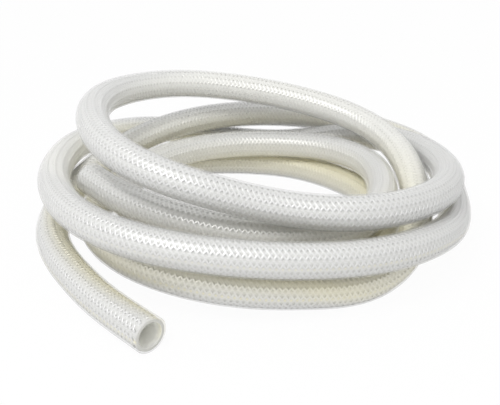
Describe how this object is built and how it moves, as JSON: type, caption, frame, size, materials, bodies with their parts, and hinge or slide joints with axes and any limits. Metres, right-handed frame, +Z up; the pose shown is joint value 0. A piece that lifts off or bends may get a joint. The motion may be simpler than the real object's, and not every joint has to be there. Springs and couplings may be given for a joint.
{
  "type": "silicone tubing coil",
  "caption": "Loose coil of translucent braid-reinforced silicone tubing lying flat, with plain cut ends that push onto barbed spigots.",
  "frame": {"origin": "middle of the coil's box seen from above, on the surface that it lies on", "axes": "+Z up through the ring of the coil, -Y towards the front, where the outer end comes out on the floor, +X to the right"},
  "size_m": [0.3818, 0.3759, 0.1253],
  "materials": {
    "silicone": "translucent milky silicone with a smooth satin skin over a white yarn braid",
    "braid": "bright white polyester yarn, braided in two opposite spirals inside the wall"
  },
  "bodies": {
    "root": {"tubing": "silicone"}
  },
  "joints": []
}
